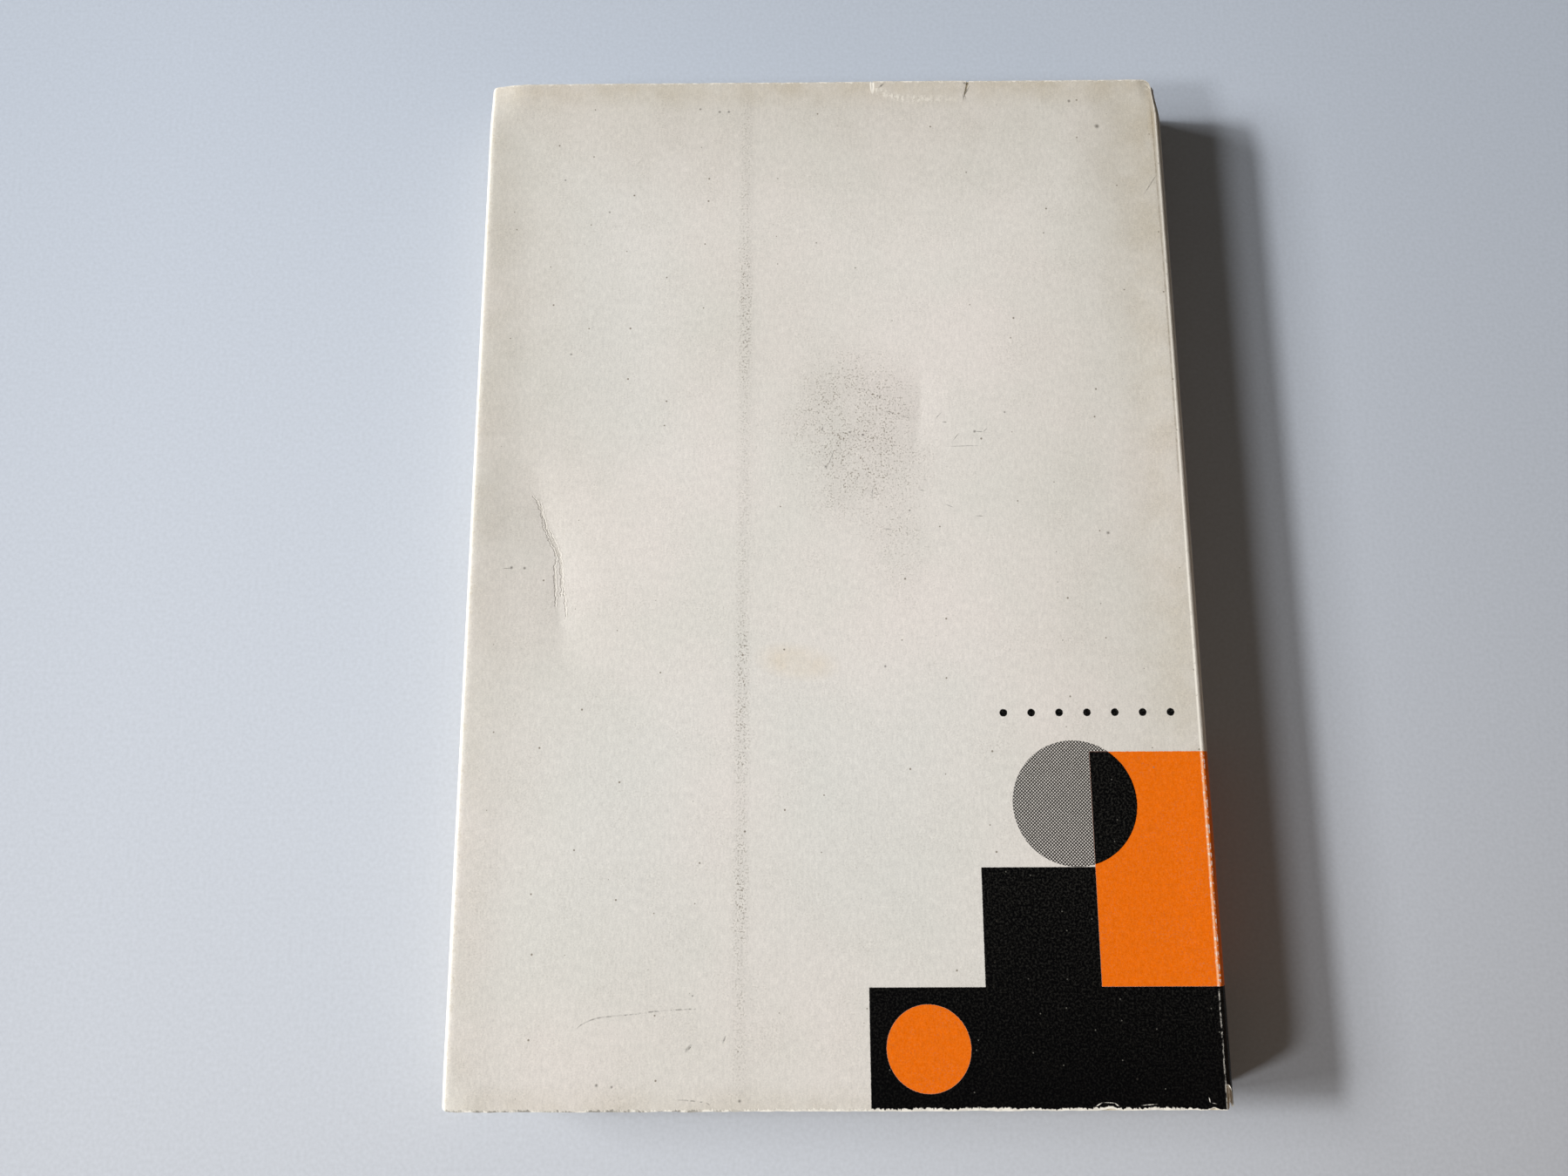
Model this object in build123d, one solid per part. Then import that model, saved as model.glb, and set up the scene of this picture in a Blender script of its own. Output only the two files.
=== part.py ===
from build123d import *
import math
import os

# A sewn paperback in a card cover with folded-in flaps, lying flat on its front cover.
# +X points to the spine, +Y to the head of the pages, +Z up through the back cover.
# The origin is the middle of the footprint, at table height. Lengths are in millimetres.

# Overall sizes of the closed book
HEIGHT = 210.0
COVER_WIDTH = 144.0
THICKNESS = 15.0

# Card of the cover, and the flap that is folded in at the fore-edge
CARD = 0.35
FLAP_WIDTH = 55.0
FOLD_RADIUS = 1.0
FOLD_CLOSING_ANGLE = 11.0
FLAP_AIR = 0.12

# Spine, rounded by use and leaning a little from standing on a shelf
SPINE_ROUND = 2.7
SPINE_LEAN = 0.6
GLUE = 0.55

# Leaves, sewn in folded sections
SECTION_COUNT = 10
SECTION_BACK_ROUND = 0.2
LEAF_SETBACK = 2.0
LEAF_AIR = 0.05
FLAP_EDGE_AIR = 0.3
FLAP_STEP_RUN = 3.0

# Wear on the back cover: a gaping tear that slants, a shorter and tighter one, and a rubbed-off corner
TEAR_FROM_SPINE = 40.5
TEAR_DEPTH = 4.9
TEAR_MOUTH = 0.45
TEAR_SLANT = 1.1
SLIT_FROM_SPINE = 60.85
SLIT_DEPTH = 3.4
SLIT_MOUTH = 0.3
CORNER_ROUND = 1.3

# Chip torn out of the spine card at the tail, beside the back cover
CHIP_DEPTH = 2.4
CHIP_LENGTH = 4.5


def spine_circle():
    """Radius and centre of the outer spine arc, measured from the back cover's ridge and the table."""
    chord = math.hypot(THICKNESS, SPINE_LEAN)
    radius = (chord**2 / 4 + SPINE_ROUND**2) / (2 * SPINE_ROUND)
    inward = radius - SPINE_ROUND
    centre_x = SPINE_LEAN / 2 - inward * THICKNESS / chord
    centre_z = THICKNESS / 2 - inward * SPINE_LEAN / chord
    return radius, centre_x, centre_z


# Places that follow from the sizes
SPINE_RADIUS, CENTRE_FROM_RIDGE, CENTRE_Z = spine_circle()
SPINE_REACH = CENTRE_FROM_RIDGE + SPINE_RADIUS
BACK_RIDGE_X = (COVER_WIDTH - SPINE_REACH) / 2
FRONT_RIDGE_X = BACK_RIDGE_X + SPINE_LEAN
CENTRE_X = BACK_RIDGE_X + CENTRE_FROM_RIDGE
FOLD_X = BACK_RIDGE_X - COVER_WIDTH
HEAD_Y = HEIGHT / 2
TAIL_Y = -HEIGHT / 2

LEAF_TOP_Z = THICKNESS - CARD - LEAF_AIR
FLAP_UNDER_Z = THICKNESS - 2 * CARD - FLAP_AIR
FLAP_END_X = FOLD_X + FLAP_WIDTH
CLOSING_SLOPE = math.tan(math.radians(FOLD_CLOSING_ANGLE))


def upright_prism(edges):
    """A section drawn in X and Z, run from tail to head."""
    return extrude(Plane.XZ * make_face(edges), amount=HEIGHT / 2, both=True)


def fold_points(depth):
    """Start, side and end of the fold's arc, and where the flap levels out, at a depth in the card."""
    angle = math.radians(FOLD_CLOSING_ANGLE)
    bend = FOLD_RADIUS - depth
    centre_x = FOLD_X + FOLD_RADIUS
    centre_z = THICKNESS - FOLD_RADIUS
    start = (centre_x, centre_z + bend)
    side = (centre_x - bend, centre_z)
    end = (centre_x + bend * math.sin(angle), centre_z - bend * math.cos(angle))
    level_z = FLAP_UNDER_Z + depth
    level = (end[0] + (level_z - end[1]) / CLOSING_SLOPE, level_z)
    return start, side, end, level


def sheet_face(depth):
    """One face of the bent card, from the spine ridge round the fold to the flap's edge."""
    start, side, end, level = fold_points(depth)
    panel = Line((BACK_RIDGE_X, THICKNESS - depth), start)
    flap = Polyline(end, level, (FLAP_END_X, FLAP_UNDER_Z + depth))
    return [panel, ThreePointArc(start, side, end), *flap.edges()]


def folded_sheet():
    """Panel, springy teardrop fold and flap of the back cover, as one bent sheet of card."""
    outside = sheet_face(0)
    inside = sheet_face(CARD)
    ends = [Line(outside[-1] @ 1, inside[-1] @ 1), Line(outside[0] @ 0, inside[0] @ 0)]
    return upright_prism([*outside, *inside, *ends])


def head_tear(from_spine, depth, mouth, slant):
    """A pointed gap that runs down from the head edge, right through the panel."""
    middle_x = BACK_RIDGE_X - from_spine
    mouth_x = middle_x + slant / 2
    tip = (middle_x - slant / 2, HEAD_Y - depth)
    outline = Polyline((mouth_x - mouth / 2, HEAD_Y), (mouth_x + mouth / 2, HEAD_Y), tip, close=True)
    return extrude(Pos(0, 0, THICKNESS) * make_face(outline), amount=1.5 * CARD, both=True)


def back_cover():
    sheet = folded_sheet()
    corner = sheet.edges().filter_by(Axis.Z).group_by(Axis.X)[-1].sort_by(Axis.Y)[-1]
    sheet = fillet(corner, CORNER_ROUND)
    sheet -= head_tear(TEAR_FROM_SPINE, TEAR_DEPTH, TEAR_MOUTH, TEAR_SLANT)
    sheet -= head_tear(SLIT_FROM_SPINE, SLIT_DEPTH, SLIT_MOUTH, 0)
    return sheet


def front_cover():
    """The same folded sheet, turned over to lie under the leaves and shifted by the lean."""
    turned = mirror(folded_sheet(), about=Plane.XY.offset(THICKNESS / 2))
    return Pos(SPINE_LEAN, 0, 0) * turned


def spine_x(z, inset):
    """Where a spine surface lies at a height, the given depth inside the outer face."""
    return CENTRE_X + math.sqrt((SPINE_RADIUS - inset) ** 2 - (z - CENTRE_Z) ** 2)


def spine_z(x, inset, side):
    """Where a spine surface meets an upright line: side is 1 at the back cover and -1 at the front."""
    return CENTRE_Z + side * math.sqrt((SPINE_RADIUS - inset) ** 2 - (x - CENTRE_X) ** 2)


def spine_cover():
    """The card round the spine, from ridge to ridge, with a chip torn out at the tail."""
    middle_z = THICKNESS / 2
    front_ridge = (FRONT_RIDGE_X, 0)
    back_ridge = (BACK_RIDGE_X, THICKNESS)
    inner_back = (BACK_RIDGE_X, spine_z(BACK_RIDGE_X, CARD, 1))
    inner_front = (FRONT_RIDGE_X, spine_z(FRONT_RIDGE_X, CARD, -1))
    outside = ThreePointArc(front_ridge, (spine_x(middle_z, 0), middle_z), back_ridge)
    inside = ThreePointArc(inner_back, (spine_x(middle_z, CARD), middle_z), inner_front)
    ends = [Line(back_ridge, inner_back), Line(inner_front, front_ridge)]
    card = upright_prism([outside, ends[0], inside, ends[1]])
    chip = Polyline(
        (TAIL_Y, THICKNESS),
        (TAIL_Y, THICKNESS - CHIP_DEPTH),
        (TAIL_Y + CHIP_LENGTH, THICKNESS),
        close=True,
    )
    return card - extrude(Plane.YZ.offset(BACK_RIDGE_X) * make_face(chip), amount=SPINE_REACH)


def leaf_face_points():
    """The top of the leaves from spine to fore-edge: level, a soft step, under the flap, under its fold."""
    level_x = fold_points(0)[-1][0]
    under_flap_z = FLAP_UNDER_Z - LEAF_AIR
    step_foot_x = FLAP_END_X + FLAP_EDGE_AIR
    fore_x = FOLD_X + LEAF_SETBACK
    drop = (level_x - fore_x) * CLOSING_SLOPE
    return [
        (step_foot_x + FLAP_STEP_RUN, LEAF_TOP_Z),
        (step_foot_x, under_flap_z),
        (level_x, under_flap_z),
        (fore_x, under_flap_z - drop),
    ]


def section_backs():
    """The folded backs of the sections, as a row of small arcs down the spine side of the leaves."""
    inset = CARD + GLUE
    low_z = THICKNESS - LEAF_TOP_Z
    pitch = (LEAF_TOP_Z - low_z) / SECTION_COUNT
    backs = []
    for number in range(SECTION_COUNT):
        start_z = low_z + number * pitch
        crown_z = start_z + pitch / 2
        end_z = start_z + pitch
        crown = (spine_x(crown_z, inset - SECTION_BACK_ROUND), crown_z)
        backs.append(ThreePointArc((spine_x(start_z, inset), start_z), crown, (spine_x(end_z, inset), end_z)))
    return backs


def text_block():
    """All the leaves: rounded section backs, and a fore-edge as hollow as the spine is round."""
    backs = section_backs()
    upper = leaf_face_points()
    lower = [(x + SPINE_LEAN, THICKNESS - z) for x, z in upper]
    back_corner = backs[-1] @ 1
    leaf_width = back_corner.X - upper[-1][0]
    middle_z = THICKNESS / 2
    hollow = (spine_x(middle_z, CARD + GLUE) - leaf_width, middle_z)
    top = Polyline(back_corner, *upper)
    fore_edge = ThreePointArc(upper[-1], hollow, lower[-1])
    bottom = Polyline(*reversed(lower), backs[0] @ 0)
    return upright_prism([*backs, *top.edges(), fore_edge, *bottom.edges()])


def spine_glue(leaves):
    """Glue that fills the space between the section backs and the card."""
    low_z = THICKNESS - LEAF_TOP_Z
    middle_z = THICKNESS / 2
    heights = (low_z, middle_z, LEAF_TOP_Z)
    outside = ThreePointArc(*[(spine_x(z, CARD), z) for z in heights])
    inside = ThreePointArc(*[(spine_x(z, CARD + GLUE), z) for z in reversed(heights)])
    ends = [Line(outside @ 1, inside @ 0), Line(inside @ 1, outside @ 0)]
    return upright_prism([outside, ends[0], inside, ends[1]]) - leaves


def main():
    leaves = text_block()
    pieces = {
        "text_block": leaves,
        "spine_glue": spine_glue(leaves),
        "spine_cover": spine_cover(),
        "back_cover": back_cover(),
        "front_cover": front_cover(),
    }
    os.makedirs("parts", exist_ok=True)
    for name, shape in pieces.items():
        export_step(shape, f"parts/{name}.step")


main()
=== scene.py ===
import math

import bpy
import numpy as np
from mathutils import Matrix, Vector


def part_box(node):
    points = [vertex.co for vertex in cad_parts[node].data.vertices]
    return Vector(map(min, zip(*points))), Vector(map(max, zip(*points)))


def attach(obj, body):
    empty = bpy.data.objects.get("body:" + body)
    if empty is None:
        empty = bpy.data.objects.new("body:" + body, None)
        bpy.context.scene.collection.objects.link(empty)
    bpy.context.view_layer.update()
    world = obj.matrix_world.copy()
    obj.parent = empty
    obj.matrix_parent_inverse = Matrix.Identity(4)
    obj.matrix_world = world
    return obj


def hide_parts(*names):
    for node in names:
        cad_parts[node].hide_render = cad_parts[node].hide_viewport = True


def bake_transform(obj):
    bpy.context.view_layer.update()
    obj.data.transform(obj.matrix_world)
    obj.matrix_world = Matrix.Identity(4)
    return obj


# The looks of an old sewn paperback in a card cover with folded-in flaps, lying on its front cover.
# +X points to the spine, +Y to the head of the pages, +Z up through the back cover.

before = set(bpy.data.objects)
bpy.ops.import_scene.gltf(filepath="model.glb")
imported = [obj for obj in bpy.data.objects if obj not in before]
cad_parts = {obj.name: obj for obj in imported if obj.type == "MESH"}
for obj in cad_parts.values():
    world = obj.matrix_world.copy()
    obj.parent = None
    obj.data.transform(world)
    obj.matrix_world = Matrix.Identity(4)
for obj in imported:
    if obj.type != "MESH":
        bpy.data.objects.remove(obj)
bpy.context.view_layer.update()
MM = 0.001
SEED = 7


def box_mm(node_name):
    """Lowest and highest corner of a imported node, in millimetres."""
    low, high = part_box(node_name)
    return np.array(low) / MM, np.array(high) / MM


BACK_LOW, BACK_HIGH = box_mm("back_cover")
_, FRONT_HIGH = box_mm("front_cover")
FOLD_X, TAIL_Y = BACK_LOW[0], BACK_LOW[1]
RIDGE_X, HEAD_Y, THICKNESS = BACK_HIGH
LEAN = FRONT_HIGH[0] - RIDGE_X
HEIGHT = HEAD_Y - TAIL_Y

# Sizes of the folded cover that no box gives. The spine is rounded a hair less than the solid's 2.7,
# so that the card stays inside its box.
CARD = 0.35
FLAP_WIDTH = 55
FOLD_RADIUS = 1
FOLD_CLOSING_ANGLE = 11
FLAP_AIR = 0.12
SPINE_ROUND = 2.695

# Sizes of the leaves and of the glue on their backs. The leaves ease down beside the flap's edge over a
# longer run than the solid's straight step, and lie under a flap that levels out a little past its fold.
GLUE = 0.55
SECTION_COUNT = 10
SECTION_BACK_ROUND = 0.2
LEAF_SETBACK = 2
LEAF_AIR = 0.05
FLAP_STEP_RUN = 9
FLAP_EDGE_AIR = 0.3
FLAP_LEVEL_RUN = 6.2
LAYERS_PER_SECTION = 10
LEAF_TOP_Z = THICKNESS - CARD - LEAF_AIR
FLAP_STEP_X = FOLD_X + FLAP_WIDTH + FLAP_EDGE_AIR

# Chip torn out of the spine card at the tail
CHIP_DEPTH = 2.4
CHIP_LENGTH = 4.5

# How far from its ridge an opened cover would bend, where the sheet's columns are finer, and how far the
# card's soft shoulder stands out past the ridge
HINGE_BEND = 2.2
SHOULDER = 0.8

# Places on the flat cover sheet: u runs across the book and is 0 at the back cover's ridge, negative
# on the back cover and positive on the spine, and v runs up from the tail edge.
PATH_STEP = 0.05
SOFT_CORNER = 0.8

# Back cover damage, as (u, v) places
DENT_VALLEY = [(-122, 74), (-124.3, 86.3), (-125.3, 95.2), (-125.9, 104.1), (-127.9, 109.5),
               (-130.2, 116.4), (-134.5, 130)]
DENT_DEPTH = 0.48
KNOCK_VALLEY = [(-53.6, 120), (-53, 130), (-52.2, 136), (-52.6, 147)]
KNOCK_DEPTH = 0.16
FLAP_LINE = [(-89.3, 0), (-88.7, 102), (-88.1, 210)]

# Tears in the head edge: place u, depth, slant and mouth. The strip of card between them stands up a little.
HEAD_TEARS = [(-60.85, 3.4, 0, 0.12), (-40.5, 4.9, 1.1, 0.6)]
TAB_RISE = 0.10

# Corners: how far the head corner beside the spine is blunted and has sunk, how far the head end of the
# spine is pushed in, and how far the corners at the fore-edge have sunk, at the head and at the tail
CORNER_BLUNT = 1.7
CORNER_SINK = 0.32
SPINE_END_PUSH = 0.9
FORE_HEAD_SINK = 1.1
FORE_TAIL_SINK = 0.25


def smooth(share):
    """An S-shaped step from 0 to 1."""
    share = np.clip(share, 0, 1)
    return share * share * (3 - 2 * share)


def soft_noise(x, y, cell, seed):
    """Smooth random heights from -1 to 1, with one value for each cell of the given size."""
    table = np.random.default_rng(SEED + seed).uniform(-1, 1, (97, 97))
    column, row = np.floor(x / cell).astype(int), np.floor(y / cell).astype(int)
    across, along = smooth(x / cell - column), smooth(y / cell - row)

    def value(step_x, step_y):
        return table[(column + step_x) % 97, (row + step_y) % 97]

    low = value(0, 0) * (1 - across) + value(1, 0) * across
    high = value(0, 1) * (1 - across) + value(1, 1) * across
    return low * (1 - along) + high * along


# Section of the cover sheet

def arc(centre, radius, start, end):
    """Points on an arc between two angles in degrees."""
    angles = np.radians(np.linspace(start, end, 60))
    return np.column_stack([centre[0] + radius * np.cos(angles), centre[1] + radius * np.sin(angles)])


def spine_circle():
    """Radius and centre of the outer face of the spine, which starts at the two shoulders."""
    chord, rise = math.hypot(THICKNESS, LEAN), SPINE_ROUND - SHOULDER
    radius = (chord**2 / 4 + rise**2) / (2 * rise)
    inward = radius - rise
    centre_x = RIDGE_X + SHOULDER + LEAN / 2 - inward * THICKNESS / chord
    return radius, centre_x, THICKNESS / 2 - inward * LEAN / chord


SPINE_RADIUS, SPINE_CENTRE_X, SPINE_CENTRE_Z = spine_circle()


def back_half():
    """Outer face of the back cover, from the flap's edge round the fold to the shoulder at the ridge."""
    under_z = THICKNESS - 2 * CARD - FLAP_AIR
    centre = (FOLD_X + FOLD_RADIUS, THICKNESS - FOLD_RADIUS)
    fold = arc(centre, FOLD_RADIUS, FOLD_CLOSING_ANGLE - 90, -270)
    level_x = fold[0, 0] + (under_z - fold[0, 1]) / math.tan(math.radians(FOLD_CLOSING_ANGLE))
    flap = [(FOLD_X + FLAP_WIDTH, under_z), (level_x, under_z)]
    return np.vstack([flap, fold, [(RIDGE_X + SHOULDER, THICKNESS)]])


def cover_path():
    """The whole outer face from flap to flap: places u with x, z and the outward direction at each."""
    back = back_half()
    front = (back * [1, -1] + [LEAN, THICKNESS])[::-1]
    start = math.degrees(math.atan2(THICKNESS - SPINE_CENTRE_Z, RIDGE_X + SHOULDER - SPINE_CENTRE_X))
    end = math.degrees(math.atan2(-SPINE_CENTRE_Z, RIDGE_X + SHOULDER + LEAN - SPINE_CENTRE_X))
    spine = arc((SPINE_CENTRE_X, SPINE_CENTRE_Z), SPINE_RADIUS, start, end)
    corners = np.vstack([back, spine[1:-1], front])
    length = np.concatenate([[0], np.cumsum(np.hypot(*np.diff(corners, axis=0).T))])
    ridge_u, spine_u = length[len(back) - 1] - SHOULDER, length[len(back) + len(spine) - 2] + SHOULDER
    u = np.linspace(0, length[-1], round(length[-1] / PATH_STEP))
    window = round(SOFT_CORNER / PATH_STEP)
    soft = []
    for axis in (0, 1):
        line = np.interp(u, length, corners[:, axis])
        before, after = 2 * line[0] - line[window:0:-1], 2 * line[-1] - line[-2:-window - 2:-1]
        padded = np.concatenate([before, line, after])
        soft.append(np.convolve(padded, np.ones(2 * window + 1) / (2 * window + 1), mode="valid"))
    x, z = soft
    tilt_x, tilt_z = np.gradient(x), np.gradient(z)
    size = np.hypot(tilt_x, tilt_z)
    return u - ridge_u, x, z, -tilt_z / size, tilt_x / size, spine_u - ridge_u


PATH_U, PATH_X, PATH_Z, PATH_OUT_X, PATH_OUT_Z, SPINE_WIDTH = cover_path()
FOLD_TOP_U = -(RIDGE_X - FOLD_X - FOLD_RADIUS)
FOLD_LENGTH = FOLD_RADIUS * math.radians(180 - FOLD_CLOSING_ANGLE)
FOLD_END_U = FOLD_TOP_U - FOLD_LENGTH
FOLD_MIDDLE_U = FOLD_TOP_U - FOLD_LENGTH / 2


def on_path(u):
    """x, z and the outward direction of the sheet's outer face, at places u."""
    return [np.interp(u, PATH_U, values) for values in (PATH_X, PATH_Z, PATH_OUT_X, PATH_OUT_Z)]


# How the back cover has settled, been knocked and been torn

def u_on(line, v):
    """The place u of a line of (u, v) places, at each v."""
    line_u, line_v = np.array(line).T
    return np.interp(v, line_v, line_u)


def valley(x, v, line, left, right):
    """A creased dent: 1 along a line and falling off on each side, sharp in the middle of its length."""
    across = x - RIDGE_X - u_on(line, v)
    reach = np.where(across < 0, left, right)
    start, end = line[0][1], line[-1][1]
    along = smooth((v - start) / (0.42 * (end - start))) * smooth((end - v) / (0.35 * (end - start)))
    blunt = 0.3 + 4.2 * (1 - along) ** 1.5
    return along * np.exp((blunt - np.hypot(across, blunt)) / reach)


def settled(x, y):
    """How far the back cover's face lies above or below its ridge, with what it has been through."""
    v = y - TAIL_Y
    from_fold, from_ridge = x - FOLD_X, RIDGE_X - x
    flap_line = u_on(FLAP_LINE, v) + 0.5 * soft_noise(v, 0, 23, 3)
    from_line = -from_ridge - flap_line
    low = (-0.15 - 0.05 * smooth(v / HEIGHT)) * smooth(from_fold / 11)
    rise = 0.10 * smooth((from_fold - 8 - 0.03 * (105 - v)) / 20)
    waves = 0.055 * soft_noise(x, y, 37, 1) + 0.018 * soft_noise(x, y, 13, 2)
    flap_step = 0.05 * (0.5 - smooth(from_line / 5 + 0.5)) + 0.010 * np.exp(-((from_line + 0.5) / 1.3) ** 2)
    level = low + rise + (waves + flap_step) * smooth(from_fold / 8)
    level = level * smooth(from_ridge / 8)
    level -= DENT_DEPTH * valley(x, v, DENT_VALLEY, 7.5, 5.6) * smooth(from_fold / 8)
    level -= KNOCK_DEPTH * valley(x, v, KNOCK_VALLEY, 3.4, 2.6)
    level -= FORE_HEAD_SINK * smooth(1 - from_fold / 9.5) ** 1.5 * smooth((v - HEIGHT + 13) / 13) ** 1.5
    level -= FORE_TAIL_SINK * smooth(1 - from_fold / 6) * smooth((7 - v) / 7)
    return level


def corner_droop(u, y):
    """The blunted head corner beside the spine, on the back cover and the spine card alike."""
    return -CORNER_SINK * smooth(1 - np.abs(u) / 3.6) * smooth((y - HEAD_Y + 6.5) / 6.5)


def spine_end_knock(y, z):
    """How far the head end of the spine has been pushed in, from the back cover nearly down to the front."""
    return SPINE_END_PUSH * smooth((y - HEAD_Y + 9) / 7.5) * smooth((z - 2) / 4)


def tab_lift(u, y):
    """The strip of card between the two head tears stands up a little."""
    (left, left_depth, *_), (right, *_) = HEAD_TEARS
    between = smooth((u - left) / 0.01) * smooth((right - u) / 0.01)
    base = left_depth + np.sin(np.pi * np.clip((u - left) / (right - left), 0, 1))
    return TAB_RISE * between * smooth((y - HEAD_Y + base) / base)


def head_inset(u):
    """How far the worn head edge has gone back from the trimmed line."""
    fray = 0.07 + 0.035 * soft_noise(u, 0, 1.7, 11) + 0.03 * soft_noise(u, 0, 0.7, 12)
    bend = np.clip((u + CORNER_BLUNT) / CORNER_BLUNT, 0, 1)
    corner = CORNER_BLUNT * np.where(u < 0, 1 - np.sqrt(1 - bend**2), smooth((6 - u) / 4.5))
    nose = 0.7 * np.exp(-((u - FOLD_MIDDLE_U) / 0.9) ** 2)
    return fray + corner + nose


def tail_inset(u):
    """The same at the tail edge, which has been stood on and is rougher."""
    fray = 0.10 + 0.045 * soft_noise(u, 0, 2.1, 13) + 0.045 * soft_noise(u, 0, 0.7, 14)
    bite = 0.35 * np.exp(-((u + 21.5) / 1.3) ** 2) + 0.4 * np.exp(-((u + 2.4) / 0.8) ** 2)
    nose = 0.8 * np.exp(-((u - FOLD_MIDDLE_U) / 0.9) ** 2)
    return fray + bite + nose


def chip_inset(u):
    """The chip at the tail end of the spine card, with a torn outline."""
    depth = THICKNESS - np.interp(u, PATH_U, PATH_Z)
    torn = CHIP_LENGTH * (1 - depth / CHIP_DEPTH) + 0.35 * soft_noise(u, 0, 0.55, 15)
    return np.where((u >= 0) & (depth < CHIP_DEPTH), np.clip(torn, 0, None), 0)


# Meshes

def mesh_piece(name, points, faces, finish, place_name=None, place=None, sharp=38):
    """A mesh object from points in millimetres, smooth but for edges sharper than an angle."""
    used, again = np.unique(faces, return_inverse=True)
    mesh = bpy.data.meshes.new(name)
    mesh.from_pydata((points[used] * MM).tolist(), [], again.reshape(faces.shape).tolist())
    if place is not None:
        layer = mesh.attributes.new(place_name, "FLOAT_VECTOR", "POINT")
        layer.data.foreach_set("vector", place[used].astype(np.float32).ravel())
    mesh.shade_smooth()
    mesh.set_sharp_from_angle(angle=math.radians(sharp))
    mesh.materials.append(finish)
    piece = bpy.data.objects.new(name, mesh)
    bpy.context.scene.collection.objects.link(piece)
    return piece


def grid_faces(index):
    """The four-cornered faces of a grid of point numbers."""
    return np.stack([index[:-1, :-1], index[1:, :-1], index[1:, 1:], index[:-1, 1:]], axis=-1)


def closed_faces(outer, count):
    """Faces of a closed sheet: its outer ones, its inner ones on the next count points, and its cut edges."""
    quads = outer.reshape(-1, 4)
    edges = np.concatenate([quads[:, [corner, (corner + 1) % 4]] for corner in range(4)])
    _, back, uses = np.unique(np.sort(edges, axis=1), axis=0, return_inverse=True, return_counts=True)
    start, end = edges[uses[back.ravel()] == 1].T
    walls = np.column_stack([end, start, start + count, end + count])
    return np.vstack([quads, quads[:, ::-1] + count, walls])


def steps(start, end, size):
    """Evenly spaced places from start up to, but not at, end."""
    count = max(1, math.ceil((end - start) / size))
    return np.linspace(start, end, count, endpoint=False)


def edge_rows(size):
    """Rows from tail to head, closer together at the two edges."""
    near = np.array([0, 0.2, 0.5, 0.9, 1.5, 2.4, 3.4, 4.7])
    middle = np.linspace(near[-1], HEIGHT - near[-1], round(HEIGHT / size))[1:-1]
    return TAIL_Y + np.concatenate([near, middle, HEIGHT - near[::-1]])


def cover_sheet(name, columns, rows, finish, tears=()):
    """A stretch of the cover sheet as a closed solid: outer face, inner face and cut edges."""
    u, y = np.meshgrid(columns, rows, indexing="ij")
    x, z, out_x, out_z = on_path(u)
    index = np.arange(u.size).reshape(u.shape)
    keep = np.ones(len(columns) - 1, bool)
    shift = np.zeros_like(u)
    for tear_u, depth, slant, mouth in tears:
        left = int(np.argmin(np.abs(columns - tear_u)))
        tip = int(np.argmin(np.abs(rows - (HEAD_Y - depth))))
        index[left + 1, :tip + 1] = index[left, :tip + 1]
        keep[left] = False
        opened = np.clip((y - rows[tip]) / depth, 0, 1)
        side = np.where(np.arange(len(columns)) <= left, -1, 1)[:, None]
        shift += slant * (opened - 0.5 * (opened > 0)) * np.exp(-((u - tear_u) / 2.5) ** 2)
        shift += side * mouth / 2 * opened * np.exp(-np.abs(u - tear_u) / 1.2)
    v = y - TAIL_Y
    head, tail, chip = head_inset(u), tail_inset(u), chip_inset(u)
    y = y + tail * np.clip(1 - v / 2, 0, 1) - head * np.clip(1 - (HEIGHT - v) / 2.4, 0, 1)
    y = y + np.where(chip > tail, chip - tail, 0) * np.clip(1 - v / 14, 0, 1)
    lift = np.where(u < 0, settled(x, y), 0) + corner_droop(u, y)
    if tears:
        lift = lift + tab_lift(u, y)
    z = z + np.where(u < SPINE_WIDTH, np.minimum(lift, 0), 0)
    knock_share = 0.4 * smooth(u / 5 + 1) + 0.6 * smooth(u / 0.8)
    pushed = spine_end_knock(y, z) * knock_share * (u < SPINE_WIDTH)
    outer = np.stack([x + shift - pushed, y, z], axis=-1).reshape(-1, 3)
    inner = outer - CARD * np.stack([out_x, 0 * out_x, out_z], axis=-1).reshape(-1, 3)
    faces = closed_faces(grid_faces(index)[keep], u.size)
    flat = np.stack([u, v], axis=-1).reshape(-1, 2)
    place = np.vstack([np.column_stack([flat, np.full(len(flat), side)]) for side in (0, 1)])
    return mesh_piece(name, np.vstack([outer, inner]), faces, finish, "sheet_place", place)


def back_columns():
    """Columns of the back cover: coarse on the hidden flap, fine round the fold and at the ridge."""
    columns = np.concatenate([
        steps(PATH_U[0], FOLD_END_U, 1.8),
        steps(FOLD_END_U, FOLD_TOP_U, 0.15),
        steps(FOLD_TOP_U, -HINGE_BEND - 1, 0.55),
        steps(-HINGE_BEND - 1, -0.6, 0.2),
        np.linspace(-0.6, 0, 9),
    ])
    for tear_u, *_ in HEAD_TEARS:
        nearest = int(np.argmin(np.abs(columns - tear_u)))
        columns[nearest] = tear_u - 0.005
        columns = np.insert(columns, nearest + 1, tear_u + 0.005)
    return columns


def spine_columns():
    """Columns round the spine card, fine at its two ridges."""
    ridge = np.linspace(0, 1.8, 25)
    return np.concatenate([ridge[:-1], steps(1.8, SPINE_WIDTH - 1.8, 0.3), SPINE_WIDTH - ridge[::-1]])


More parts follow.
